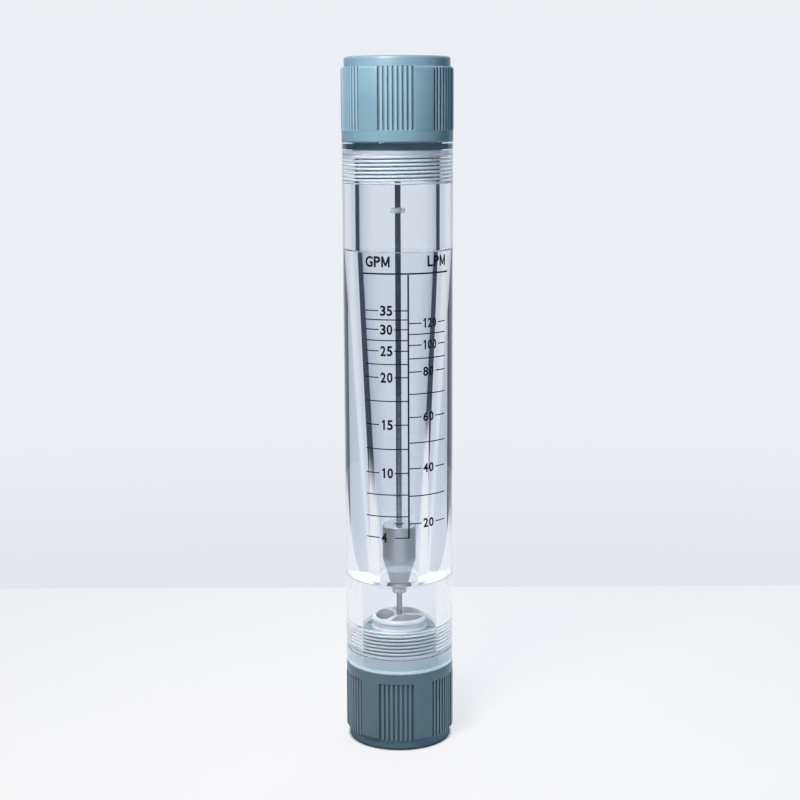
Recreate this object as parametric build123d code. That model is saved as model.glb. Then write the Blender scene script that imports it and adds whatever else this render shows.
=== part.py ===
from build123d import *
import os
from math import cos, radians, sin, tan

# In-line flow meter with a clear tapered tube, a steel float on a guide rod and two screwed end fittings.
# Millimetres, +Z up, the origin in the middle of the base. Bodies of revolution about Z throughout.

# Metering tube
tube_radius = 29.8
tube_length = 287.8
chamber_radius = 20.8
lower_chamber_length = 48.4
upper_chamber_length = 57.6
taper_bottom_radius = 11.0
taper_top_radius = 19.6
step_edge_round = 0.4
tube_end_chamfer = 0.3

# End fittings, one moulding used at both ends, with the grip a little proud of the tube
grip_stand = 0.2
grip_height = 38.8
grip_edge = 1.1
end_disc_setback = 1.7
end_disc_height = 5.3
end_disc_edge = 0.8
plain_band_setback = 0.3
plain_band_height = 4.4
band_blend = 1.0
shoulder_edge = 0.4

# Finger grooves of the grip
groove_groups = 6
grooves_in_group = 8
groove_pitch_deg = 5.0
first_group_deg = -93.8
crest_setback = 0.5
groove_root_setback = 1.55
groove_root_width = 0.75
groove_mouth_width = 1.55
group_margin = 0.9

# Threaded spigot of each fitting, with its smooth neck and seal groove
spigot_length = 19.9
thread_gap = 0.3
neck_length = 6.5
neck_gap = 0.3
tip_chamfer = 0.8
seal_seat_depth = 6.2
spanner_slots = 2
spanner_slot_deg = -14.0
spanner_slot_width = 2.6
spanner_slot_depth = 3.0
spanner_slot_reach = 18.7

# Turn of the top fitting about Z, as it is screwed home
top_fitting_turn_deg = -5.3

# Pipe port and the passage behind it
port_radius = 15.15
port_length = 18.0
port_chamfer = 1.2
passage_radius = 13.0

# Seal rings
seal_section_radius = 1.5
seal_ring_radius = 21.1
seal_gap = 0.05
seal_shoulder_gap = 0.9
seal_groove_width = 3.4

# Three-hole rod guides
guide_radius = 15.5
guide_gap = 0.1
guide_seat_depth = 6.0
lower_guide_collar = 6.4
guide_waist_depth = 0.7
guide_foot_height = 0.9
guide_rim_height = 1.9
guide_rim_round = 1.4
guide_edge = 0.5
guide_holes = 3
first_guide_hole_deg = 60.0
guide_web_width = 2.6
guide_rim_width = 2.2
guide_hub_radius = 3.2
guide_hole_round = 2.6
guide_hub_round = 1.2
upper_guide_recess = 0.6

# Guide rod, stop rings and float
rod_radius = 1.6
rod_fit_gap = 0.04
rod_slide_gap = 0.12
rod_foot_depth = 9.0
rod_head_depth = 4.2
rod_end_chamfer = 0.4
stop_radius = 4.0
stop_height = 2.8
stop_edge = 0.9
float_radius = 9.35
float_body_height = 18.7
float_cone_height = 18.3
float_tip_radius = 3.9
float_bore_gap = 0.2
float_sink_radius = 2.6
float_sink_depth = 1.6
float_top_edge = 0.4
float_top_height = 122.9
upper_stop_drop = 15.8

# How far a cut runs past the face that it opens
cut_overrun = 1.0

# Places that follow from the sizes
grip_radius = tube_radius + grip_stand
end_disc_radius = grip_radius - end_disc_setback
plain_band_radius = grip_radius - plain_band_setback
crest_radius = grip_radius - crest_setback
groove_root_radius = grip_radius - groove_root_setback
fitting_height = end_disc_height + grip_height
overall_height = 2 * fitting_height + tube_length
tube_bottom = fitting_height
tube_top = fitting_height + tube_length
taper_bottom = tube_bottom + lower_chamber_length
taper_top = tube_top - upper_chamber_length
spigot_tip = fitting_height + spigot_length
guide_seat = spigot_tip - guide_seat_depth
pocket_radius = guide_radius + guide_gap
spigot_radius = chamber_radius - thread_gap
seal_seat_radius = seal_ring_radius + seal_section_radius + seal_gap
neck_radius = seal_seat_radius - neck_gap
seal_groove_radius = seal_ring_radius - seal_section_radius - seal_gap
seal_middle = fitting_height + seal_shoulder_gap + seal_groove_width / 2
lower_guide_top = spigot_tip + lower_guide_collar
float_bottom = float_top_height - float_body_height - float_cone_height
rod_foot = lower_guide_top - rod_foot_depth
upper_guide_low = overall_height - spigot_tip + upper_guide_recess
upper_guide_high = overall_height - guide_seat
rod_head = upper_guide_low + rod_head_depth
lower_stop_low = float_bottom - stop_height
upper_stop_low = upper_guide_low - upper_stop_drop - stop_height


def turned(points):
    """A solid turned about Z from a closed outline of (radius, height) points."""
    outline = Plane.XZ * Polygon(*points, align=None)
    return revolve(outline, Axis.Z)


def circles_at(solid, radius, height, tolerance=0.01):
    """The circular edges of a turned solid at one radius and height."""
    found = ShapeList()
    for edge in solid.edges().filter_by(GeomType.CIRCLE):
        near_radius = abs(edge.radius - radius) < tolerance
        if near_radius and abs(edge.arc_center.Z - height) < tolerance:
            found.append(edge)
    return found


def groove_cutter():
    """The grooves of one grip group, run out at their closed end on a 45 degree ramp."""
    outer = grip_radius + cut_overrun
    inner = groove_root_radius - cut_overrun
    low = end_disc_height - cut_overrun
    high = fitting_height - plain_band_height
    ramp = outer - groove_root_radius
    half_span = radians(groove_pitch_deg * (grooves_in_group - 1) / 2)
    pocket_half = half_span + (groove_mouth_width / 2 + group_margin) / grip_radius
    far_x = 2 * outer * cos(pocket_half)
    far_y = 2 * outer * sin(pocket_half)
    wedge = Polygon((0, 0), (far_x, -far_y), (far_x, far_y), align=None)
    flat = (wedge & Circle(outer)) - Circle(crest_radius)
    root = groove_root_width / 2
    mouth = groove_mouth_width / 2
    groove = Polygon(
        (groove_root_radius, -root), (grip_radius, -mouth), (grip_radius, mouth), (groove_root_radius, root),
        align=None,
    )
    for count in range(grooves_in_group):
        turn = groove_pitch_deg * (count - (grooves_in_group - 1) / 2)
        flat += Rot(0, 0, turn) * groove
    prism = Pos(0, 0, low) * extrude(flat, high + ramp - low)
    envelope = turned([
        (inner, low), (outer, low), (outer, high + ramp), (groove_root_radius, high), (inner, high),
    ])
    return prism & envelope


def fitting():
    """End fitting, standing on its port face: end disc, ribbed grip, neck, spigot, port and guide pocket."""
    groove_low = seal_middle - seal_groove_width / 2
    groove_high = seal_middle + seal_groove_width / 2
    neck_top = fitting_height + neck_length
    band_low = fitting_height - plain_band_height
    body = turned([
        (0, 0), (end_disc_radius - end_disc_edge, 0), (end_disc_radius, end_disc_edge),
        (end_disc_radius, end_disc_height), (grip_radius - grip_edge, end_disc_height),
        (grip_radius, end_disc_height + grip_edge), (grip_radius, band_low - band_blend),
        (plain_band_radius, band_low + band_blend),
        (plain_band_radius, fitting_height - shoulder_edge),
        (plain_band_radius - shoulder_edge, fitting_height),
        (neck_radius, fitting_height), (neck_radius, groove_low), (seal_groove_radius, groove_low),
        (seal_groove_radius, groove_high), (neck_radius, groove_high), (neck_radius, neck_top),
        (spigot_radius, neck_top + neck_radius - spigot_radius), (spigot_radius, spigot_tip - tip_chamfer),
        (spigot_radius - tip_chamfer, spigot_tip), (0, spigot_tip),
    ])
    waterway = turned([
        (0, -cut_overrun), (port_radius + port_chamfer + cut_overrun, -cut_overrun),
        (port_radius, port_chamfer), (port_radius, port_length),
        (passage_radius, port_length + port_radius - passage_radius),
        (passage_radius, guide_seat), (pocket_radius, guide_seat), (pocket_radius, spigot_tip + cut_overrun),
        (0, spigot_tip + cut_overrun),
    ])
    body -= waterway
    cutter = groove_cutter()
    for count in range(groove_groups):
        body -= Rot(0, 0, first_group_deg + count * 360 / groove_groups) * cutter
    for count in range(spanner_slots):
        slot = Pos(0, 0, spigot_tip) * Box(
            spanner_slot_reach, spanner_slot_width, 2 * spanner_slot_depth,
            align=(Align.MIN, Align.CENTER, Align.CENTER),
        )
        body -= Rot(0, 0, spanner_slot_deg + count * 360 / spanner_slots) * slot
    return body


def tube():
    """Clear tube with the tapered measuring bore between two chambers, and a seal seat at each mouth."""
    body = turned([
        (0, tube_bottom), (tube_radius - tube_end_chamfer, tube_bottom),
        (tube_radius, tube_bottom + tube_end_chamfer), (tube_radius, tube_top - tube_end_chamfer),
        (tube_radius - tube_end_chamfer, tube_top), (0, tube_top),
    ])
    seat_slope = seal_seat_radius - chamber_radius
    lower_seat = tube_bottom + seal_seat_depth
    upper_seat = tube_top - seal_seat_depth
    bore = turned([
        (0, tube_bottom - cut_overrun), (seal_seat_radius, tube_bottom - cut_overrun),
        (seal_seat_radius, lower_seat), (chamber_radius, lower_seat + seat_slope),
        (chamber_radius, taper_bottom), (taper_bottom_radius, taper_bottom),
        (taper_top_radius, taper_top), (chamber_radius, taper_top),
        (chamber_radius, upper_seat - seat_slope), (seal_seat_radius, upper_seat),
        (seal_seat_radius, tube_top + cut_overrun), (0, tube_top + cut_overrun),
    ])
    body -= bore
    edges = circles_at(body, taper_bottom_radius, taper_bottom)
    edges += circles_at(body, taper_top_radius, taper_top)
    return fillet(edges, step_edge_round)


def seal_ring(height):
    """Round-section seal in the neck's groove."""
    return Pos(0, 0, height) * Torus(seal_ring_radius, seal_section_radius)


def guide_hole(low, high):
    """One rounded sector hole of a guide, centred on +X, between two webs, the hub and the rim."""
    reach = guide_radius - guide_rim_width
    half_sector = radians(180 / guide_holes)
    far_x = 2 * reach
    far_y = far_x * tan(half_sector)
    sector = Polygon((0, 0), (far_x, -far_y), (far_x, far_y), align=None)
    sector = Pos(guide_web_width / 2 / sin(half_sector), 0, 0) * sector
    opening = (sector & Circle(reach)) - Circle(guide_hub_radius)
    corners = opening.vertices().sort_by(Axis.X)
    opening = fillet(corners[-2:], guide_hole_round)
    corners = opening.vertices().sort_by(Axis.X)
    opening = fillet(corners[:2], guide_hub_round)
    return Pos(0, 0, low) * extrude(opening, high - low)


def drilled_guide(body, low, high, rod_bore):
    """A guide body with its three flow holes and the bore for the rod."""
    for count in range(guide_holes):
        hole = guide_hole(low - cut_overrun, high + cut_overrun)
        body -= Rot(0, 0, first_guide_hole_deg + count * 360 / guide_holes) * hole
    return body - rod_bore


def collared_guide(low, high, rod_bore):
    """Lower guide: a drum in the spigot's pocket and a waisted collar above it with a rounded rim."""
    mouth = high - lower_guide_collar
    waist = guide_radius - guide_waist_depth
    rim_low = high - guide_rim_height
    body = turned([
        (0, low), (guide_radius, low), (guide_radius, mouth + guide_foot_height),
        (waist, mouth + guide_foot_height + guide_waist_depth), (waist, rim_low - guide_waist_depth),
        (guide_radius, rim_low), (guide_radius, high), (0, high),
    ])
    body = fillet(circles_at(body, guide_radius, high), guide_rim_round)
    return drilled_guide(body, low, high, rod_bore)


def flush_guide(low, high, rod_bore):
    """Upper guide: a plain drum sunk in the pocket, its visible edge rounded."""
    body = fillet(circles_at(column(guide_radius, low, high), guide_radius, low), guide_edge)
    return drilled_guide(body, low, high, rod_bore)


def rod():
    """Steel guide rod with chamfered ends."""
    body = Pos(0, 0, rod_foot) * Cylinder(
        rod_radius, rod_head - rod_foot, align=(Align.CENTER, Align.CENTER, Align.MIN)
    )
    return chamfer(body.edges().filter_by(GeomType.CIRCLE), rod_end_chamfer)


def stop_ring(low):
    """Small clear ring gripping the rod, which ends the float's travel."""
    inner = rod_radius + rod_fit_gap
    high = low + stop_height
    body = turned([(inner, low), (stop_radius, low), (stop_radius, high), (inner, high)])
    return fillet(circles_at(body, stop_radius, low) + circles_at(body, stop_radius, high), stop_edge)


def float_body():
    """Steel float: a drum on a long cone, bored for the rod and countersunk on top."""
    drum_low = float_top_height - float_body_height
    bore = rod_radius + float_bore_gap
    body = turned([
        (bore, float_bottom), (float_tip_radius, float_bottom), (float_radius, drum_low),
        (float_radius, float_top_height), (float_sink_radius, float_top_height),
        (float_sink_radius, float_top_height - float_sink_depth),
        (bore, float_top_height - float_sink_depth),
    ])
    return chamfer(circles_at(body, float_radius, float_top_height), float_top_edge)


def column(radius, low, high):
    """A plain round bar on the axis, used to bore a hole."""
    return Pos(0, 0, low) * Cylinder(radius, high - low, align=(Align.CENTER, Align.CENTER, Align.MIN))


def flipped(solid):
    """The same part turned end for end, from the base of the meter to its top, and screwed home."""
    return Pos(0, 0, overall_height) * Rot(0, 0, top_fitting_turn_deg) * Rot(0, 180, 0) * solid


def main():
    end_fitting = fitting()
    blind_bore = column(rod_radius + rod_fit_gap, rod_foot, lower_guide_top + cut_overrun)
    through_bore = column(
        rod_radius + rod_slide_gap, upper_guide_low - cut_overrun, upper_guide_high + cut_overrun,
    )
    pieces = {
        "bottom_fitting": end_fitting,
        "bottom_seal_ring": seal_ring(seal_middle),
        "bottom_guide": collared_guide(guide_seat, lower_guide_top, blind_bore),
        "guide_rod": rod(),
        "lower_stop_ring": stop_ring(lower_stop_low),
        "upper_stop_ring": stop_ring(upper_stop_low),
        "float": float_body(),
        "metering_tube": tube(),
        "top_seal_ring": seal_ring(overall_height - seal_middle),
        "top_guide": flush_guide(upper_guide_low, upper_guide_high, through_bore),
        "top_fitting": flipped(end_fitting),
    }
    os.makedirs("parts", exist_ok=True)
    for name, solid in pieces.items():
        export_step(solid, f"parts/{name}.step")


main()
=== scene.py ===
"""Looks of the in-line flow meter: clear threaded tube with a printed scale, ribbed fittings and steel float.

Metres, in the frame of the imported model: +Z up, the base at height 0 and the scale facing -Y.
Sizes in millimetres are named values times mm. Turned pieces are grids of outline rows round the axis.
"""

import math

import bmesh
import bpy
import numpy as np
from mathutils import Euler, Matrix, Vector

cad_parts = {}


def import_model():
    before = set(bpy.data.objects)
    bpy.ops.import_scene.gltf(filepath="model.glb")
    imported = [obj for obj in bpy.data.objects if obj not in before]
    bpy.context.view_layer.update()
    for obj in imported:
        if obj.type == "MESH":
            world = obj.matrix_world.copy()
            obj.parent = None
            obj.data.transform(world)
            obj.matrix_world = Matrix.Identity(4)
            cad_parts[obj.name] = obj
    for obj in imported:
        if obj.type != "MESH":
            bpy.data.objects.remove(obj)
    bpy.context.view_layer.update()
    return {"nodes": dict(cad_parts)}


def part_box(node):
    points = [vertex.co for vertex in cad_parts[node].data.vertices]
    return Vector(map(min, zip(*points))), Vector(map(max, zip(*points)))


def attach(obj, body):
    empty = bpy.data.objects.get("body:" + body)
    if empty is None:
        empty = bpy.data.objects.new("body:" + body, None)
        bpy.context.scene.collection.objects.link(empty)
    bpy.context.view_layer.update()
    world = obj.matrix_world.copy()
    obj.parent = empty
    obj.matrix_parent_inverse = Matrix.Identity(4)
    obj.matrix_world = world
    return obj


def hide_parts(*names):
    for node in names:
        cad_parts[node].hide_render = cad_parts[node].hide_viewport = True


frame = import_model()

mm = 0.001
full_turn = 2 * math.pi
support = 0.12 * mm
sharp_angle = math.radians(34)
merge_distance = 2e-6

# Places taken from the frame
tube_low, tube_high = (corner.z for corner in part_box("metering_tube"))
tube_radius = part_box("metering_tube")[1].x
overall_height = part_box("top_fitting")[1].z
fitting_height = tube_low
spigot_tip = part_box("bottom_fitting")[1].z
grip_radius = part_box("bottom_fitting")[1].x
guide_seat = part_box("bottom_guide")[0].z
guide_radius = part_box("bottom_guide")[1].x
seal_middle = sum(corner.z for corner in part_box("bottom_seal_ring")) / 2
seal_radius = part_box("bottom_seal_ring")[1].x

# Metering tube
air_gap = 0.04 * mm
tube_edge = 0.3 * mm
seat_radius = seal_radius + 0.05 * mm
seat_depth = 6.2 * mm
run_in_depth = 4.5 * mm
chamber_radius = 20.8 * mm
lower_chamber_length = 48.4 * mm
upper_chamber_length = 57.6 * mm
taper_bottom_radius = 11.0 * mm
taper_top_radius = 19.6 * mm
step_round = 0.4 * mm
tube_columns = 384

# Screw threads between the tube and the fittings
thread_pitch = 2.0 * mm
tube_crest_radius = 20.9 * mm
tube_root_radius = 22.0 * mm
tube_crest_width = 0.75 * mm
tube_root_width = 0.25 * mm
tube_thread_past_tip = 2.3 * mm
tube_thread_lead = 0.6 * mm
spigot_crest_radius = 21.4 * mm
spigot_root_radius = 19.75 * mm
spigot_crest_width = 0.15 * mm
spigot_root_width = 0.25 * mm
upper_crest_height = 311.1 * mm
lower_crest_height = 50.6 * mm
front_angle = -math.pi / 2

# End fittings
end_disc_radius = grip_radius - 1.7 * mm
end_disc_height = 5.3 * mm
end_disc_edge = 1.4 * mm
grip_edge = 1.5 * mm
plain_band_radius = grip_radius - 0.2 * mm
plain_band_height = 6.2 * mm
band_blend = 1.0 * mm
ledge_rise = 0.35 * mm
ledge_rows = 6
shoulder_edge = 0.4 * mm
neck_radius = 22.35 * mm
neck_length = 6.5 * mm
neck_slope = 0.9 * mm
spigot_thread_start = 1.0 * mm
seal_groove_radius = 19.55 * mm
seal_groove_half = 1.7 * mm
seal_round = 0.35 * mm
seal_clearance = 0.05 * mm
seal_columns = 192
upper_seal_spread = 0.08 * mm
tip_chamfer = 0.8 * mm
pocket_radius = guide_radius + 0.1 * mm
passage_radius = 13.0 * mm
passage_slope = 1.5 * mm
port_length = 18.0 * mm
port_thread_stop = 1.0 * mm
port_run_out = 2 * mm
port_run_out_slope = 0.6
port_crest_radius = 15.15 * mm
port_root_radius = 16.4 * mm
port_mouth_radius = 16.45 * mm
port_pitch = 2.309 * mm
port_flat_width = 0.4 * mm

# Finger grooves
groove_groups = 6
grooves_in_group = 8
groove_pitch = math.radians(5.0)
bottom_group_angle = math.radians(-93.8)
top_group_angle = math.radians(-91.5)
crest_radius = grip_radius - 0.55 * mm
groove_root_radius = grip_radius - 1.65 * mm
groove_root_half = 0.42 * mm
groove_mouth_half = 0.68 * mm
lip_round = 0.28 * mm
root_round = 0.2 * mm
panel_columns = 12
coarse_step = 3

# Spanner slots in the rim of each spigot
slot_angle = math.radians(-14.0)
slot_half_width = 1.3 * mm
slot_middle_radius = 19 * mm
slot_half = slot_half_width / slot_middle_radius
slot_wall = 0.002
slot_margin = 1e-4
slot_sides = (-slot_half - slot_wall, -slot_half, slot_half, slot_half + slot_wall)
slot_depth = 3.0 * mm
slot_floor = 0.2 * mm


def rounded(corners, steps=3):
    """Open outline through (x, y, rounding) corners, each rounding drawn as an arc of that radius."""
    points = []
    for index, (x, y, radius) in enumerate(corners):
        here = Vector((x, y))
        if radius == 0:
            points.append((x, y))
            continue
        back = (Vector(corners[index - 1][:2]) - here).normalized()
        ahead = (Vector(corners[index + 1][:2]) - here).normalized()
        half = back.angle(ahead) / 2
        centre = here + (back + ahead).normalized() * radius / math.sin(half)
        start = here + back * radius / math.tan(half) - centre
        sweep = start.angle_signed(here + ahead * radius / math.tan(half) - centre)
        for step in range(steps + 1):
            spoke = start.copy()
            spoke.rotate(Matrix.Rotation(-sweep * step / steps, 2))
            points.append(tuple(centre + spoke))
    return points


def supported(outline):
    """The outline with a point close to each end of its long lines, so that they are shaded flat."""
    points = [outline[0]]
    for start, end in zip(outline, outline[1:]):
        length = math.dist(start, end)
        if length > 6 * support:
            share = support / length
            for part in (share, 1 - share):
                points.append(tuple(a + (b - a) * part for a, b in zip(start, end)))
        points.append(end)
    return points


def plain_rows(outline, angles):
    """Rows of a turned surface: one (radius, height, angle) row for each outline point."""
    return [(np.full_like(angles, r), np.full_like(angles, z), angles) for r, z in supported(outline)]


def thread_rows(angles, low, high, pitch, crest, bounds_at):
    """Rows of a right-handed screw thread between two heights, upwards.

    crest is (height of one crest at angle 0, crest radius, crest width, root radius, root width), and
    bounds_at gives the least and greatest radius at a height, which form the lead-in and the run-out.
    """
    crest_height, crest_r, crest_width, root_r, root_width = crest
    flank = (pitch - crest_width - root_width) / 2
    middle = (crest_r + root_r) / 2
    profile = [
        (-crest_width / 2, crest_r),
        (crest_width / 2, crest_r),
        (crest_width / 2 + flank / 2, middle),
        (crest_width / 2 + flank, root_r),
        (crest_width / 2 + flank + root_width, root_r),
        (pitch - crest_width / 2 - flank / 2, middle),
    ]
    first = math.floor((low - crest_height) / pitch) - 2
    last = math.ceil((np.max(high) - crest_height) / pitch) + 1
    rows = []
    for turn in range(first, last):
        for offset, radius in profile:
            height = crest_height + offset + pitch * (turn + angles / full_turn)
            clipped = np.clip(height, low, high)
            least, greatest = bounds_at(clipped)
            rows.append((np.clip(radius, least, greatest), clipped, angles))
    return rows


def turned_mesh(name, rows):
    """Closed piece from rows round the axis, with doubled points merged and its normals outward."""
    radius, height, angle = (np.stack([row[part] for row in rows], axis=1) for part in range(3))
    points = np.stack([radius * np.cos(angle), radius * np.sin(angle), height], axis=2)
    around, along = radius.shape
    index = np.arange(around * along).reshape(around, along)
    across = np.roll(index, -1, axis=1)
    faces = np.stack([index[:-1], index[1:], across[1:], across[:-1]], axis=2).reshape(-1, 4)
    mesh = bpy.data.meshes.new(name)
    mesh.from_pydata(points.reshape(-1, 3), [], faces.tolist())
    work = bmesh.new()
    work.from_mesh(mesh)
    bmesh.ops.remove_doubles(work, verts=work.verts, dist=merge_distance)
    bmesh.ops.recalc_face_normals(work, faces=work.faces)
    work.to_mesh(mesh)
    work.free()
    return smooth_piece(name, mesh)


def placed(name, data):
    """Object with the given data, linked to the scene."""
    holder = bpy.data.objects.new(name, data)
    bpy.context.scene.collection.objects.link(holder)
    return holder


def smooth_piece(name, mesh):
    """Object of a mesh that is shaded smooth apart from its edges."""
    mesh.polygons.foreach_set("use_smooth", [True] * len(mesh.polygons))
    mesh.set_sharp_from_angle(angle=sharp_angle)
    return placed(name, mesh)


def clear_tube():
    """Metering tube: polished outside, tapered bore between two chambers, seal seats, internal threads."""
    angles = np.linspace(0, full_turn, tube_columns + 1)
    low = tube_low + air_gap
    high = tube_high - air_gap
    outer = tube_radius - air_gap
    slope_low = tube_low + seat_depth
    slope_high = tube_high - seat_depth
    lead = tube_thread_lead
    lower_end = spigot_tip + tube_thread_past_tip
    upper_end = overall_height - spigot_tip - tube_thread_past_tip
    step_low = tube_low + lower_chamber_length
    step_high = tube_high - upper_chamber_length

    def lower_bounds(height):
        return tube_root_radius - np.abs(height - slope_low - lead), chamber_radius + (lower_end - height)

    def upper_bounds(height):
        return tube_root_radius - np.abs(slope_high - lead - height), chamber_radius + (height - upper_end)

    def tube_thread(low, high, height, bounds_at):
        at_zero = height - thread_pitch * front_angle / full_turn
        crest = (at_zero, tube_crest_radius, tube_crest_width, tube_root_radius, tube_root_width)
        return thread_rows(angles, low, high, thread_pitch, crest, bounds_at)

    outside = rounded([
        (seat_radius, high - run_in_depth, 0), (seat_radius, high, 0),
        (outer, high, tube_edge), (outer, low, tube_edge), (seat_radius, low, 0),
    ])
    rows = plain_rows(outside + [(seat_radius, slope_low), (tube_root_radius, slope_low + lead)], angles)
    rows += tube_thread(slope_low + lead, lower_end, lower_crest_height, lower_bounds)
    rows += plain_rows(rounded([
        (chamber_radius, lower_end + lead, 0), (chamber_radius, step_low, step_round),
        (taper_bottom_radius, step_low, step_round), (taper_top_radius, step_high, step_round),
        (chamber_radius, step_high, step_round), (chamber_radius, upper_end - lead, 0),
    ]), angles)
    rows += tube_thread(upper_end, slope_high - lead, upper_crest_height, upper_bounds)
    rows += plain_rows([(tube_root_radius, slope_high - lead), (seat_radius, slope_high)], angles)
    return turned_mesh("clear_tube", rows)


def groove_outline():
    """Outline of the grip: (angle from the first group's middle, radius) points of one turn."""
    span = groove_pitch * (grooves_in_group - 1) / 2
    mouth = groove_mouth_half / crest_radius
    root = groove_root_half / groove_root_radius
    corners = []
    for count in range(grooves_in_group):
        middle = groove_pitch * count - span
        left_top = grip_radius if count == 0 else crest_radius
        right_top = grip_radius if count == grooves_in_group - 1 else crest_radius
        corners += [
            (middle - mouth, left_top, lip_round), (middle - root, groove_root_radius, root_round),
            (middle + root, groove_root_radius, root_round), (middle + mouth, right_top, lip_round),
        ]
    group = full_turn / groove_groups
    flat = [(angle * grip_radius, radius, rounding) for angle, radius, rounding in corners]
    flat = [(-group / 2 * grip_radius, grip_radius, 0)] + flat + [(group / 2 * grip_radius, grip_radius, 0)]
    one_group = [(x / grip_radius, radius) for x, radius in rounded(flat, steps=2)]
    start = one_group[1][0]
    end = one_group[-2][0]
    columns = panel_columns // 2
    before = [(-group / 2 + (start + group / 2) * step / columns, grip_radius) for step in range(columns)]
    after = [(end + (group / 2 - end) * (step + 1) / columns, grip_radius) for step in range(columns - 1)]
    one_group = before + one_group[1:-1] + after
    turn = []
    for count in range(groove_groups):
        turn += [(angle + count * group, radius) for angle, radius in one_group]
    turn.append((turn[0][0] + full_turn, turn[0][1]))
    return turn


def off_slots(angle):
    """How far an angle is from the middle of the nearer spanner slot."""
    return np.abs((angle - slot_angle + math.pi / 2) % math.pi - math.pi / 2)


def fitting(name, thread_height, group_angle):
    """End fitting on its port face, its thread cut so that a root is at thread_height at angle 0."""
    fine, grooves = (np.array(part) for part in zip(*groove_outline()))
    slots = np.array([slot_angle + half + side for half in (0, math.pi) for side in slot_sides])
    slots = fine[0] + (slots - group_angle - fine[0]) % full_turn
    kept = np.concatenate([np.arange(len(fine)) % coarse_step == 0, np.full(len(slots), True)])
    kept[len(fine) - 1] = True
    order = np.argsort(np.concatenate([fine, slots]))
    grooves = np.concatenate([grooves, np.interp(slots, fine, grooves)])[order]
    fine = np.concatenate([fine, slots])[order] + group_angle
    coarse = fine[np.maximum.accumulate(np.where(kept[order], np.arange(len(fine)), 0))]
    rim = np.where(off_slots(coarse) < slot_half + slot_margin, spigot_tip - slot_depth, spigot_tip)
    band_low = fitting_height - plain_band_height
    neck_top = fitting_height + neck_length
    seal_low = seal_middle - seal_groove_half
    seal_high = seal_middle + seal_groove_half

    outside = rounded([
        (port_mouth_radius, 0, 0), (end_disc_radius, 0, end_disc_edge), (end_disc_radius, end_disc_height, 0),
        (grip_radius, end_disc_height, grip_edge), (grip_radius, band_low - band_blend, 0),
    ], steps=6)
    closing = (grip_radius - groove_root_radius) / ledge_rise
    ledge = [(grip_radius, band_low + ledge_rise * step / ledge_rows) for step in range(ledge_rows + 1)]
    rows = plain_rows(outside[:1], coarse)
    for radius, height in outside[1:] + ledge:
        drop = np.clip((height - band_low + band_blend) / (2 * band_blend), 0, 1)
        smooth = drop * drop * (3 - 2 * drop)
        body = min(radius, grip_radius - (grip_radius - plain_band_radius) * smooth)
        row = np.full_like(fine, body)
        if height >= end_disc_height and radius > end_disc_radius:
            row = np.minimum(row, np.maximum(grooves, groove_root_radius + (height - band_low) * closing))
        rows.append((row, np.full_like(fine, height), fine))
    rows += plain_rows(rounded([
        (plain_band_radius, band_low + ledge_rise + band_blend, 0),
        (plain_band_radius, fitting_height, shoulder_edge), (neck_radius, fitting_height, 0),
    ])[:-1], fine)
    rows += plain_rows([
        (neck_radius, fitting_height), (neck_radius, seal_low), (seal_groove_radius, seal_low),
        (seal_groove_radius, seal_high), (neck_radius, seal_high), (neck_radius, neck_top),
        (spigot_root_radius, neck_top + neck_slope),
    ], coarse)

    thread_low = neck_top + spigot_thread_start
    tip_radius = spigot_crest_radius - tip_chamfer

    def spigot_bounds(height):
        below = np.abs(rim - height)
        greatest = np.minimum(tip_radius + below, spigot_root_radius + (height - thread_low))
        return tip_radius - below, greatest

    at_zero = thread_height - thread_pitch / 2
    crest = (at_zero, spigot_crest_radius, spigot_crest_width, spigot_root_radius, spigot_root_width)
    rows += thread_rows(coarse, thread_low, rim, thread_pitch, crest, spigot_bounds)
    rows.append((np.full_like(coarse, pocket_radius), rim, coarse))
    rows += plain_rows([
        (pocket_radius, spigot_tip - slot_depth - slot_floor), (pocket_radius, guide_seat),
        (passage_radius, guide_seat), (passage_radius, port_length + passage_slope),
        (port_crest_radius, port_length),
    ], coarse)

    def port_bounds(height):
        left = np.maximum(0, port_length - port_run_out - height)
        return port_mouth_radius - height, port_crest_radius + left * port_run_out_slope

    port = (0, port_crest_radius, port_flat_width, port_root_radius, port_flat_width)
    port_rows = thread_rows(coarse, 0, port_length - port_thread_stop, port_pitch, port, port_bounds)
    rows += port_rows[::-1]
    return turned_mesh(name, rows)


def end_for_end(piece):
    """Turns the piece over, from the base of the meter to its top."""
    piece.data.transform(Matrix.Translation((0, 0, overall_height)) @ Matrix.Rotation(math.pi, 4, "Y"))


def squashed_seal(name, middle, contact):
    """Seal ring pressed flat against the tube, reaching contact past its free radius."""
    angles = np.linspace(0, full_turn, seal_columns + 1)
    inner = seal_groove_radius + seal_clearance
    outer = seal_radius + contact
    half = seal_groove_half - seal_clearance
    outline = rounded([
        (inner, middle - half, 0), (outer, middle - half, seal_round), (outer, middle + half, seal_round),
        (inner, middle + half, 0),
    ], steps=5)
    return turned_mesh(name, plain_rows(outline, angles))


# Materials

def new_material(name):
    """A material with its node tree and its Principled node."""
    material = bpy.data.materials.new(name)
    material.use_nodes = True
    return material, material.node_tree, material.node_tree.nodes["Principled BSDF"]


def show(tree, shader):
    """Makes a shader the surface of its material."""
    tree.links.new(shader, tree.nodes["Material Output"].inputs["Surface"])


def colour(text, alpha=1.0):
    """Linear colour from an sRGB hex text."""
    channels = [int(text[start:start + 2], 16) / 255 for start in (0, 2, 4)]
    return [c / 12.92 if c <= 0.04045 else ((c + 0.055) / 1.055) ** 2.4 for c in channels] + [alpha]


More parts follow.
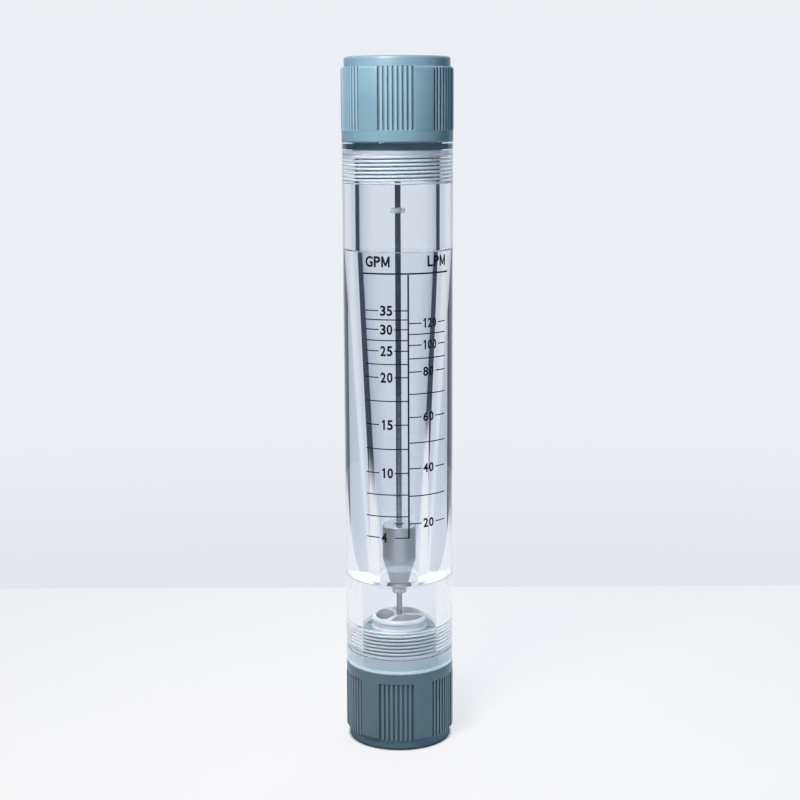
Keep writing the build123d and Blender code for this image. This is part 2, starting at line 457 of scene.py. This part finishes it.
def noise_bump(tree, shader, scale, strength, distance, detail=3.0, stretch=(1, 1, 1)):
    """Fine relief from a noise in the object's own space."""
    place = tree.nodes.new("ShaderNodeTexCoord")
    mapping = tree.nodes.new("ShaderNodeMapping")
    mapping.inputs["Scale"].default_value = stretch
    noise = tree.nodes.new("ShaderNodeTexNoise")
    noise.inputs["Scale"].default_value = scale
    noise.inputs["Detail"].default_value = detail
    bump = tree.nodes.new("ShaderNodeBump")
    bump.inputs["Strength"].default_value = strength
    bump.inputs["Distance"].default_value = distance
    tree.links.new(place.outputs["Object"], mapping.inputs["Vector"])
    tree.links.new(mapping.outputs["Vector"], noise.inputs["Vector"])
    tree.links.new(noise.outputs["Fac"], bump.inputs["Height"])
    tree.links.new(bump.outputs["Normal"], shader.inputs["Normal"])
    return noise


def varied_colour(tree, shader, dark, light, noise):
    """Base colour that drifts between two tones with a noise."""
    blend = tree.nodes.new("ShaderNodeValToRGB")
    for element, position, tone in zip(blend.color_ramp.elements, (0.3, 0.7), (dark, light)):
        element.position = position
        element.color = tone
    tree.links.new(noise.outputs["Fac"], blend.inputs["Fac"])
    tree.links.new(blend.outputs["Color"], shader.inputs["Base Color"])


def moulded_plastic(name, dark, light, roughness, relief=0.12):
    """Satin moulded plastic with a faint skin."""
    material, tree, shader = new_material(name)
    shader.inputs["Roughness"].default_value = roughness
    noise_bump(tree, shader, scale=2600, strength=relief, distance=0.00002)
    cloud = tree.nodes.new("ShaderNodeTexNoise")
    cloud.inputs["Scale"].default_value = 60
    place = tree.nodes.new("ShaderNodeTexCoord")
    tree.links.new(place.outputs["Object"], cloud.inputs["Vector"])
    varied_colour(tree, shader, dark, light, cloud)
    return material


def see_through_for_lamps(tree, shader):
    """Lets lamp light pass straight through a clear material."""
    path = tree.nodes.new("ShaderNodeLightPath")
    clear = tree.nodes.new("ShaderNodeBsdfTransparent")
    clear.inputs["Color"].default_value = (0.86, 0.9, 0.95, 1)
    mix = tree.nodes.new("ShaderNodeMixShader")
    tree.links.new(path.outputs["Is Shadow Ray"], mix.inputs["Fac"])
    tree.links.new(shader.outputs["BSDF"], mix.inputs[1])
    tree.links.new(clear.outputs["BSDF"], mix.inputs[2])
    show(tree, mix.outputs["Shader"])


def polished_acrylic(name, tone):
    """Polished clear acrylic with a slight cast of its own."""
    material, tree, shader = new_material(name)
    shader.inputs["Base Color"].default_value = tone
    shader.inputs["Roughness"].default_value = 0.0
    shader.inputs["IOR"].default_value = 1.49
    shader.inputs["Transmission Weight"].default_value = 1.0
    see_through_for_lamps(tree, shader)
    return material


def cut_acrylic(name, tone, clearness, roughness):
    """Acrylic as a cutting tool leaves it: whitened and more or less clear."""
    material, tree, shader = new_material(name)
    shader.inputs["Base Color"].default_value = colour(tone)
    shader.inputs["Roughness"].default_value = roughness
    shader.inputs["IOR"].default_value = 1.49
    shader.inputs["Transmission Weight"].default_value = clearness
    noise_bump(tree, shader, scale=4000, strength=0.2, distance=0.00002, stretch=(1, 1, 6))
    return material


def translucent_plastic():
    """Milky plastic of the stop rings."""
    material, tree, shader = new_material("translucent_plastic")
    shader.inputs["Base Color"].default_value = colour("f0f5fa")
    shader.inputs["Roughness"].default_value = 0.2
    shader.inputs["IOR"].default_value = 1.45
    shader.inputs["Transmission Weight"].default_value = 0.75
    noise_bump(tree, shader, scale=900, strength=0.2, distance=0.00005)
    return material


def turned_steel(name, dark, light, roughness, marks):
    """Stainless steel with turning marks round the axis."""
    material, tree, shader = new_material(name)
    shader.inputs["Metallic"].default_value = 1.0
    shader.inputs["Roughness"].default_value = roughness
    noise = noise_bump(
        tree, shader, scale=140, strength=marks, distance=0.00003, detail=6.0, stretch=(1, 1, 40),
    )
    varied_colour(tree, shader, dark, light, noise)
    return material


def ink():
    """Flat dark printing ink."""
    material, tree, shader = new_material("ink")
    shader.inputs["Roughness"].default_value = 0.45
    shader.inputs["Specular IOR Level"].default_value = 0.15
    noise = noise_bump(tree, shader, scale=3000, strength=0.1, distance=0.00001)
    varied_colour(tree, shader, colour("0d0f17"), colour("13151f"), noise)
    return material


def rubber():
    """Smooth dark rubber of the seals."""
    material, tree, shader = new_material("rubber")
    shader.inputs["Roughness"].default_value = 0.5
    noise = noise_bump(tree, shader, scale=1500, strength=0.2, distance=0.00003)
    varied_colour(tree, shader, colour("3f5a6c"), colour("4a6577"), noise)
    return material


# Printed scale on the front of the tube

print_skin = 0.02 * mm
print_step = 0.5 * mm
spine_angle = math.radians(10.3)
spine_width = 0.9 * mm
spine_top = 263.8 * mm
spine_bottom = 121.3 * mm
spine_top_gap = 0.6 * mm
spine_overlap = 0.98
tick_width = 0.58 * mm
underline_width = 0.85 * mm
gallon_left = math.radians(-35.5)
gallon_number_gap = (math.radians(-20.5), math.radians(-4.2))
gallon_number_angle = math.radians(-12.3)
litre_right = math.radians(56.2)
litre_number_start = math.radians(24.6)
litre_number_end = {2: math.radians(41.7), 3: math.radians(45.3)}
litre_number_angle = {2: math.radians(32.6), 3: math.radians(34.2)}
litre_digit_width = {2: 3.05 * mm, 3: 2.6 * mm}
underline = (math.radians(-38.0), math.radians(61.6))
digit_height = 5.5 * mm
digit_width = 3.05 * mm
one_stem_start = 0.45
one_flag_start = 0.08
one_flag_drop = 0.28
one_flag_top = 0.02
letter_m_valley = 0.12
digit_gap = 0.5 * mm
litre_digit_height = 5.1 * mm
stem_width = 0.95 * mm
bold = 0.03
gallon_four_angle = math.radians(-15.6)
gallon_heading_angle = math.radians(-21.5)
litre_heading_angle = math.radians(44.2)
heading_height = 270.1 * mm
heading_size = 5.8 * mm
heading_gap = 0.55 * mm
gallon_heading_widths = (4.4 * mm, 3.7 * mm, 4.6 * mm)
litre_heading_widths = (3.6 * mm, 3.8 * mm, 4.8 * mm)
gallon_ticks = {244.4: "35", 234.4: "30", 223.0: "25", 208.8: "20", 183.3: "15", 157.0: "10", 121.3: "4"}
gallon_minor = (239.6, 228.6, 215.9, 196.1, 170.1, 145.1, 133.1)
litre_ticks = {237.6: "120", 226.0: "100", 211.7: "80", 187.3: "60", 159.4: "40", 129.0: "20"}
litre_minor = (231.8, 218.8, 199.8, 173.4, 144.3)


def bar(work, left, right, low, high):
    """Flat bar of print, drawn as arc length against height."""
    corners = [(left, 0, low), (right, 0, low), (right, 0, high), (left, 0, high)]
    work.faces.new([work.verts.new(corner) for corner in corners])


def wrapped_skin(name, work):
    """Thin closed skin, half sunk in the tube's wall, from flat faces drawn as arc length against height."""
    outer = tube_radius - air_gap
    work.verts.index_update()
    count = len(work.verts)
    points = []
    for radius in (outer + print_skin, outer - print_skin):
        for vertex in work.verts:
            angle = front_angle + vertex.co.x / tube_radius
            points.append((radius * math.cos(angle), radius * math.sin(angle), vertex.co.z))
    faces = []
    borders = set()
    for face in work.faces:
        loop = [vertex.index for vertex in face.verts]
        if face.normal.y > 0:
            loop.reverse()
        faces += [loop, [index + count for index in reversed(loop)]]
        borders |= set(zip(loop, loop[1:] + loop[:1]))
    for start, end in borders:
        if (end, start) not in borders:
            faces.append([start, start + count, end + count, end])
    work.free()
    mesh = bpy.data.meshes.new(name)
    mesh.from_pydata(points, [], faces)
    return smooth_piece(name, mesh)


def stroke(work, start, end, width):
    """Flat slanted stroke between two points, cut level at both ends, width measured along the arc."""
    corners = [(start[0], start[1]), (start[0] + width, start[1]), (end[0] + width, end[1]), (end[0], end[1])]
    work.faces.new([work.verts.new((x, 0, z)) for x, z in corners])


def letter(work, character, left, low, width, height, offset):
    """Flat letter or digit that fills a given box."""
    thick = stem_width * height / digit_height
    high = low + height
    if character == "M":
        valley = (left + (width - thick) / 2, low + height * letter_m_valley)
        bar(work, left, left + thick, low, high)
        bar(work, left + width - thick, left + width, low, high)
        stroke(work, (left, high), valley, thick)
        stroke(work, (left + width - thick, high), valley, thick)
        return
    if character == "1":
        stem = left + width * one_stem_start
        bar(work, stem, stem + thick, low, high)
        foot = (left + width * one_flag_start, high - height * one_flag_drop)
        stroke(work, foot, (stem, high - one_flag_top * height), thick)
        return
    curve = bpy.data.curves.new("lettering", "FONT")
    curve.body = character
    curve.offset = offset
    curve.resolution_u = 5
    holder = placed("lettering", curve)
    bpy.context.view_layer.update()
    flat = bpy.data.meshes.new_from_object(holder.evaluated_get(bpy.context.evaluated_depsgraph_get()))
    bpy.data.objects.remove(holder)
    points = np.array([vertex.co[:2] for vertex in flat.vertices])
    least = points.min(axis=0)
    extent = points.max(axis=0) - least
    made = []
    for x, y in (points - least) / extent:
        made.append(work.verts.new((left + x * width, 0, low + y * height)))
    for polygon in flat.polygons:
        work.faces.new([made[index] for index in polygon.vertices])


def words(work, text, angle, middle, height, widths, gap, offset):
    """Flat lettering centred on an angle and a height, each letter as wide as it is given."""
    left = angle * tube_radius - (sum(widths) + gap * (len(text) - 1)) / 2
    for character, width in zip(text, widths):
        letter(work, character, left, middle - height / 2, width, height, offset)
        left += width + gap


def tick(work, height, spans, width=tick_width):
    """Tick of the scale in one or more spans of angle."""
    for left, right in spans:
        bar(work, left * tube_radius, right * tube_radius, height - width / 2, height + width / 2)


def scale_print():
    """Two scales on a common spine, wrapped on the tube, a thin closed skin of ink half sunk in its wall."""
    work = bmesh.new()
    half = spine_width / 2 / tube_radius
    tick(work, spine_top, [underline], width=underline_width)
    spine = spine_angle * tube_radius
    spine_high = spine_top - spine_top_gap
    bar(work, spine - spine_width / 2, spine + spine_width / 2, spine_bottom - tick_width / 2, spine_high)
    edge_left = spine_angle - half * spine_overlap
    edge_right = spine_angle + half * spine_overlap
    for height, number in gallon_ticks.items():
        start, stop = gallon_number_gap
        tick(work, height * mm, [(gallon_left, start), (stop, edge_left)])
        middle = gallon_number_angle if len(number) == 2 else gallon_four_angle
        words(work, number, middle, height * mm, digit_height, [digit_width] * len(number), digit_gap, bold)
    for height in gallon_minor:
        tick(work, height * mm, [(gallon_left, edge_left)])
    for height, number in litre_ticks.items():
        digits = len(number)
        tick(work, height * mm, [(edge_right, litre_number_start), (litre_number_end[digits], litre_right)])
        widths = [litre_digit_width[digits]] * digits
        middle = litre_number_angle[digits]
        words(work, number, middle, height * mm, litre_digit_height, widths, digit_gap, bold)
    for height in litre_minor:
        tick(work, height * mm, [(edge_right, litre_right)])
    for text, angle, widths in (
        ("GPM", gallon_heading_angle, gallon_heading_widths),
        ("LPM", litre_heading_angle, litre_heading_widths),
    ):
        words(work, text, angle, heading_height, heading_size, widths, heading_gap, bold)
    reach = underline[1] * tube_radius
    for place in np.arange(-reach, reach, print_step):
        everything = work.verts[:] + work.edges[:] + work.faces[:]
        bmesh.ops.bisect_plane(work, geom=everything, plane_co=(place, 0, 0), plane_no=(1, 0, 0))
    work.normal_update()
    return wrapped_skin("scale_print", work)


# Pieces

def dress(piece, *materials):
    """Gives a piece its materials, in order."""
    piece.data.materials.clear()
    for material in materials:
        piece.data.materials.append(material)


fitting_plastic = moulded_plastic("fitting_plastic", colour("6a8a9c"), colour("7091a2"), 0.34)
# Painted shade: a darker tone of the fitting plastic for the grooves and the spanner slots
groove_painted_shade = moulded_plastic("groove_painted_shade", colour("587483"), colour("5e7a89"), 0.45)
# Painted highlight: a lighter tone of the fitting plastic for the rib crests
rib_painted_highlight = moulded_plastic("rib_painted_highlight", colour("80a1b3"), colour("86a7b9"), 0.3)
guide_plastic = moulded_plastic("guide_plastic", colour("cdd0d2"), colour("d5d8da"), 0.4, relief=0.08)
seal_rubber = rubber()
stop_plastic = translucent_plastic()
float_steel = turned_steel("float_steel", colour("b9bec4"), colour("c5cad0"), 0.22, 0.08)
rod_steel = turned_steel("rod_steel", colour("9aa2aa"), colour("a8b0b8"), 0.2, 0.1)
clear = polished_acrylic("polished_acrylic", (0.945, 0.965, 0.99, 1))
machined = cut_acrylic("cut_acrylic", "e2eaf1", 0.38, 0.3)
bored = polished_acrylic("bored_acrylic", (0.83, 0.87, 0.93, 1))
faced = cut_acrylic("faced_acrylic", "d2e6f3", 0.45, 0.35)
stepped = cut_acrylic("turned_step", "fbfdff", 1.0, 0.15)
black = ink()


# Places of the finishes in the tube's list and of the painted shade and highlight in the fittings' lists, and
# how near a face counts as there
threads_place = 1
end_place = 2
step_place = 3
bore_place = 4
# Painted shade in the grooves and slots of the fittings
painted_shade_place = 1
# Painted highlight on the ribs of the fittings
painted_highlight_place = 2
near = 0.1 * mm
crest_margin = 0.04 * mm
run_in_reach = 8 * mm


def face_places(piece):
    """Distance from the axis, height and angle about the axis of each face's centre."""
    centres = np.empty(len(piece.data.polygons) * 3)
    piece.data.polygons.foreach_get("center", centres)
    x, y, height = centres.reshape(-1, 3).T
    return np.hypot(x, y), height, np.arctan2(y, x)


def mark_cut_faces(piece):
    """Puts the cut finishes on the threads' flanks and roots, the upper run-in, the steps and the lower end.

    The tapered bore gets a finish of its own, and all else stays polished.
    """
    radius, height = face_places(piece)[:2]
    threaded = (radius > tube_crest_radius + crest_margin) & (radius < tube_root_radius + near / 2)
    threaded &= (height > tube_low + seat_depth) & (height < tube_high - seat_depth)
    lower_step = np.abs(height - tube_low - lower_chamber_length) < near
    upper_step = np.abs(height - tube_high + upper_chamber_length) < near
    on_step = (lower_step | upper_step) & (radius < chamber_radius)
    lower_end = (height < tube_low + seat_depth) & (radius < seat_radius + near)
    lower_end |= (height < tube_low + near) & (radius < tube_radius - 5 * near)
    run_in = (radius < seat_radius + near) & (height < tube_high - run_in_depth)
    run_in &= height > tube_high - run_in_reach
    number = np.zeros(len(radius), dtype=np.int32)
    number[radius < taper_top_radius] = bore_place
    number[threaded | run_in] = threads_place
    number[lower_end] = end_place
    number[on_step] = step_place
    piece.data.polygons.foreach_set("material_index", number)


def mark_grooves(piece):
    """Paints shade into the grooves of the grip of a fitting on its port face and into its slots, and a
    highlight on its ribs.
    """
    radius, height, angle = face_places(piece)
    grip = (height > end_disc_height + near / 2) & (height < fitting_height - plain_band_height + ledge_rise)
    rib_low = crest_radius - 2 * near
    number = np.zeros(len(radius), dtype=np.int32)
    number[grip & (radius > groove_root_radius - near) & (radius < rib_low)] = painted_shade_place
    number[grip & (radius > rib_low) & (radius < crest_radius + near)] = painted_highlight_place
    in_slot = (off_slots(angle) < slot_half) & (radius > guide_radius)
    number[in_slot & (height > spigot_tip - slot_depth - 3 * near)] = painted_shade_place
    piece.data.polygons.foreach_set("material_index", number)


tube = clear_tube()
dress(tube, clear, machined, faced, stepped, bored)
mark_cut_faces(tube)
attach(tube, "tube")
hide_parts("metering_tube")

marks = scale_print()
dress(marks, black)
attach(marks, "tube")

root_at_zero = lower_crest_height - thread_pitch * front_angle / full_turn
bottom = fitting("ribbed_bottom_fitting", root_at_zero, bottom_group_angle)
dress(bottom, fitting_plastic, groove_painted_shade, rib_painted_highlight)
mark_grooves(bottom)
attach(bottom, "base")
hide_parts("bottom_fitting")

root_at_half_turn = overall_height - upper_crest_height + thread_pitch * (front_angle - math.pi) / full_turn
top = fitting("ribbed_top_fitting", root_at_half_turn, math.pi - top_group_angle)
dress(top, fitting_plastic, groove_painted_shade, rib_painted_highlight)
mark_grooves(top)
end_for_end(top)
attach(top, "top")
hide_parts("top_fitting")

for name, node, body, contact in (
    ("bottom_seal", "bottom_seal_ring", "lower_seal", 0),
    ("top_seal", "top_seal_ring", "upper_seal", upper_seal_spread),
):
    low_corner, high_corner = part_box(node)
    seal = squashed_seal(name, (low_corner.z + high_corner.z) / 2, contact)
    dress(seal, seal_rubber)
    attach(seal, body)
    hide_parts(node)

nodes = frame["nodes"]
for node, material in (
    ("bottom_guide", guide_plastic), ("top_guide", guide_plastic), ("guide_rod", rod_steel),
    ("float", float_steel), ("lower_stop_ring", stop_plastic), ("upper_stop_ring", stop_plastic),
):
    for place in nodes[node].material_slots:
        place.material = material

# Stage: a pale floor that ends a little behind the meter, and a backdrop a little darker than it

floor_back = 0.281
floor_left = -0.43
floor_right = 0.56
floor_front = -0.62
floor_drop = 0.1 * mm
floor_matt = [0.33, 0.315, 0.3, 1]
floor_glow = 0.775
floor_fade = 0.14
# Painted contact shadow: the floor's glow fades out round the meter's foot, narrowly for the camera and out
# to a wider reach for other rays
painted_shadow_start = 27.6 * mm
painted_shadow_end = 29.8 * mm
painted_shade_reach = 45 * mm

# How the floor dims in the metal, at both sides and close to the meter
beside_middle = 0.2
beside_fade = 0.13
beside_dimming = 0.75
close_start = 0.12
close_end = 0.32
close_dimming = 0.4

# Light Path depths that tell mirrored rays, rays through the wall alone and rays through the whole bore
mirrored_once = 0.5
wall_passes = 2.5
bore_passes = 3.5

# Tones of the backdrop, the dark flags and the light, and (start, end) of the soft steps between them,
# in a ray's rise or in its share to the side
floor_colour = colour("f2f3f7")
backdrop_high = colour("eceff4")
backdrop_low = colour("e4e7ee")
flag_tone = [0.006, 0.016, 0.04, 1]
front_tone = [0.1, 0.12, 0.15, 1]
side_tone = [0.6, 0.655, 0.74, 1]
overhead_tone = [1.1, 1.15, 1.2, 1]
ambient_low = [0.04, 0.09, 0.14, 1]
ambient_high = [0.116, 0.168, 0.206, 1]
backdrop_rise = (math.sin(math.radians(-17)), math.sin(math.radians(-10)))
floor_line = (math.sin(math.radians(-17.6)), math.sin(math.radians(-17.3)))
flag_start = (0.845, 0.865)
flag_end = (0.955, 0.985)
flag_foot = (-0.5, -0.45)
mirrored_flag_shift = 0.105
right_flag_shift = -0.022
wall_flag_shift = 0.055
flag_share = 0.82
flag_share_more = 0.16
side_rise = (0.15, 0.65)
front_rise = (-0.3, 0.1)
overhead_rise = (0.12, 0.3)
ambient_rise = (-0.3, 0.9)


def add_shader(tree, first, second):
    """Sum of two shaders."""
    node = tree.nodes.new("ShaderNodeAddShader")
    tree.links.new(first, node.inputs[0])
    tree.links.new(second, node.inputs[1])
    return node.outputs["Shader"]


def math_node(tree, operation, first, second=None, third=None):
    """Output of a math node whose inputs are sockets or numbers."""
    node = tree.nodes.new("ShaderNodeMath")
    node.operation = operation
    for socket, value in zip(node.inputs, (first, second, third)):
        if value is None:
            continue
        if isinstance(value, (int, float)):
            socket.default_value = value
        else:
            tree.links.new(value, socket)
    return node.outputs["Value"]


def opposite(tree, value):
    """1 minus a value."""
    return math_node(tree, "SUBTRACT", 1.0, value)


def either(tree, first, second):
    """The greater of two values."""
    return math_node(tree, "MAXIMUM", first, second)


def both(tree, first, second):
    """The product of two values."""
    return math_node(tree, "MULTIPLY", first, second)


def soft_step(tree, value, low, high):
    """Smooth step of a value from 0 at low to 1 at high."""
    node = tree.nodes.new("ShaderNodeMapRange")
    node.interpolation_type = "SMOOTHSTEP"
    node.inputs["From Min"].default_value = low
    node.inputs["From Max"].default_value = high
    tree.links.new(value, node.inputs["Value"])
    return node.outputs["Result"]


def flat_distance(tree, x, y):
    """Length of the level vector (x, y)."""
    return math_node(tree, "SQRT", math_node(tree, "ADD", both(tree, x, x), both(tree, y, y)))


def seen_directly(tree):
    """1 for rays from the camera and for those that metal mirrors or a clear wall lets through."""
    path = tree.nodes.new("ShaderNodeLightPath")
    direct = either(tree, path.outputs["Is Camera Ray"], path.outputs["Is Glossy Ray"])
    return either(tree, direct, path.outputs["Is Transmission Ray"])


def floor():
    """Pale floor: partly its own tone, partly lit, so that it keeps the meter's soft shadow, with a painted
    contact shadow round the meter's foot.
    """
    mesh = bpy.data.meshes.new("floor")
    left = floor_left - floor_fade / 2
    right = floor_right + floor_fade / 2
    corners = [
        (left, floor_front, -floor_drop), (right, floor_front, -floor_drop),
        (right, floor_back, -floor_drop), (left, floor_back, -floor_drop),
    ]
    mesh.from_pydata(corners, [], [(0, 1, 2, 3)])
    plane = placed("floor", mesh)
    material, tree, shader = new_material("floor")
    tree.nodes.remove(shader)
    lit = tree.nodes.new("ShaderNodeBsdfDiffuse")
    lit.inputs["Color"].default_value = floor_matt
    glow = tree.nodes.new("ShaderNodeEmission")
    glow.inputs["Color"].default_value = floor_colour
    place = tree.nodes.new("ShaderNodeTexCoord")
    split = tree.nodes.new("ShaderNodeSeparateXYZ")
    tree.links.new(place.outputs["Object"], split.inputs["Vector"])
    x, y = (split.outputs[axis] for axis in "XY")
    radius = flat_distance(tree, x, y)
    path = tree.nodes.new("ShaderNodeLightPath")
    from_camera = path.outputs["Is Camera Ray"]
    # Painted contact shadow for camera rays, and wider painted shade for mirrored rays and rays through clear
    # parts
    painted_contact_shadow = both(tree, from_camera, soft_step(tree, radius, painted_shadow_start, painted_shadow_end))
    wide = both(tree, opposite(tree, from_camera), soft_step(tree, radius, painted_shadow_start, painted_shade_reach))
    strength = both(tree, seen_directly(tree), floor_glow)
    strength = both(tree, strength, math_node(tree, "ADD", painted_contact_shadow, wide))
    mirrored = math_node(tree, "GREATER_THAN", path.outputs["Glossy Depth"], mirrored_once)
    through_bore = math_node(tree, "GREATER_THAN", path.outputs["Transmission Depth"], bore_passes)
    off_axis = math_node(tree, "ABSOLUTE", x)
    beside = soft_step(tree, off_axis, beside_middle - beside_fade, beside_middle + beside_fade)
    close = opposite(tree, soft_step(tree, radius, close_start, close_end))
    dimming = either(tree, both(tree, beside, beside_dimming), both(tree, close, close_dimming))
    dimming = both(tree, both(tree, mirrored, through_bore), dimming)
    tree.links.new(both(tree, strength, opposite(tree, dimming)), glow.inputs["Strength"])
    surface = add_shader(tree, lit.outputs["BSDF"], glow.outputs["Emission"])
    from_left = soft_step(tree, x, left, left + floor_fade)
    to_right = opposite(tree, soft_step(tree, x, right - floor_fade, right))
    clear_edge = tree.nodes.new("ShaderNodeBsdfTransparent")
    fade = tree.nodes.new("ShaderNodeMixShader")
    tree.links.new(both(tree, from_left, to_right), fade.inputs["Fac"])
    tree.links.new(clear_edge.outputs["BSDF"], fade.inputs[1])
    tree.links.new(surface, fade.inputs[2])
    show(tree, fade.outputs["Shader"])
    mesh.materials.append(material)


def world():
    """Pale backdrop, dark flags at both sides that draw the limbs of the clear tube, and a soft light."""
    scene_world = bpy.data.worlds.new("studio")
    bpy.context.scene.world = scene_world
    scene_world.use_nodes = True
    tree = scene_world.node_tree
    tree.nodes.clear()
    output = tree.nodes.new("ShaderNodeOutputWorld")
    place = tree.nodes.new("ShaderNodeTexCoord")
    split = tree.nodes.new("ShaderNodeSeparateXYZ")
    tree.links.new(place.outputs["Generated"], split.inputs["Vector"])
    x, y, z = (split.outputs[axis] for axis in "XYZ")
    side = math_node(tree, "DIVIDE", math_node(tree, "ABSOLUTE", x), flat_distance(tree, x, y))

    def mixed(factor, first, second):
        node = tree.nodes.new("ShaderNodeMix")
        node.data_type = "RGBA"
        tree.links.new(factor, node.inputs["Factor"])
        colours = [socket for socket in node.inputs if socket.type == "RGBA"]
        for socket, value in zip(colours, (first, second)):
            if isinstance(value, list):
                socket.default_value = value
            else:
                tree.links.new(value, socket)
        return [socket for socket in node.outputs if socket.type == "RGBA"][0]

    path = tree.nodes.new("ShaderNodeLightPath")
    mirrored = math_node(tree, "GREATER_THAN", path.outputs["Glossy Depth"], mirrored_once)
    straight = opposite(tree, mirrored)
    unseen = opposite(tree, path.outputs["Is Camera Ray"])
    thick_wall = math_node(tree, "LESS_THAN", path.outputs["Transmission Depth"], wall_passes)

    backdrop = mixed(soft_step(tree, z, *backdrop_rise), backdrop_low, backdrop_high)
    backdrop = mixed(soft_step(tree, z, *floor_line), floor_colour, backdrop)
    backdrop = mixed(both(tree, soft_step(tree, side, *side_rise), unseen), backdrop, side_tone)

    flag_side = side
    for where, shift in (
        (math_node(tree, "GREATER_THAN", x, 0.0), right_flag_shift), (mirrored, mirrored_flag_shift),
        (both(tree, thick_wall, straight), wall_flag_shift),
    ):
        flag_side = math_node(tree, "MULTIPLY_ADD", where, shift, flag_side)
    flag = both(tree, soft_step(tree, flag_side, *flag_start), soft_step(tree, z, *flag_foot))
    past_end = both(tree, soft_step(tree, side, *flag_end), straight)
    flag = both(tree, flag, opposite(tree, past_end))
    share = math_node(tree, "MULTIPLY_ADD", either(tree, mirrored, thick_wall), flag_share_more, flag_share)
    seen = mixed(both(tree, flag, both(tree, share, unseen)), backdrop, flag_tone)

    towards_front = soft_step(tree, both(tree, y, -1.0), *front_rise)
    seen = mixed(both(tree, towards_front, mirrored), seen, front_tone)
    seen = mixed(both(tree, soft_step(tree, z, *overhead_rise), mirrored), seen, overhead_tone)
    ambient = mixed(soft_step(tree, z, *ambient_rise), ambient_low, ambient_high)
    background = tree.nodes.new("ShaderNodeBackground")
    tree.links.new(mixed(seen_directly(tree), ambient, seen), background.inputs["Color"])
    tree.links.new(background.outputs["Background"], output.inputs["Surface"])


def lamp(name, place, target, size, power, tint, glossy=True):
    """Soft square lamp that faces a point."""
    light = bpy.data.lights.new(name, "AREA")
    light.shape = "SQUARE"
    light.size = size
    light.energy = power
    light.color = tint
    holder = placed(name, light)
    holder.location = place
    holder.rotation_euler = (Vector(target) - Vector(place)).to_track_quat("-Z", "Y").to_euler()
    holder.visible_glossy = glossy
    holder.visible_transmission = False
    holder.visible_camera = False


def camera():
    """The photograph's viewing angle."""
    view = bpy.data.cameras.new("camera")
    view.sensor_width = 36
    view.lens = 71.235
    view.clip_start = 0.01
    holder = placed("camera", view)
    holder.location = (0.0008, -0.856, 0.3443)
    pitch = math.radians(90 - 10.113)
    roll = -0.0042
    holder.rotation_euler = (Euler((pitch, 0, 0)).to_matrix() @ Matrix.Rotation(roll, 3, "Z")).to_euler()
    bpy.context.scene.camera = holder


floor()
world()
lamp("key", (-0.13, -0.27, 0.53), (0, 0, 0.33), 0.16, 2.3, (1.0, 0.935, 0.885))
lamp("fill", (0.5, -0.9, 0.16), (0, 0, 0.1), 0.5, 0.42, (0.6, 0.88, 1.0), glossy=False)
lamp("side", (0.6, -0.15, 0.2), (0, 0, 0.19), 0.3, 0.55, (0.6, 0.87, 1.0), glossy=False)
lamp("back", (0.15, 0.9, 0.5), (0, 0, 0.19), 0.7, 3.0, (0.94, 0.98, 1.0), glossy=False)
camera()

scene = bpy.context.scene
scene.view_settings.view_transform = "Standard"
scene.cycles.max_bounces = 24
scene.cycles.transmission_bounces = 20
scene.cycles.glossy_bounces = 10
scene.cycles.transparent_max_bounces = 24
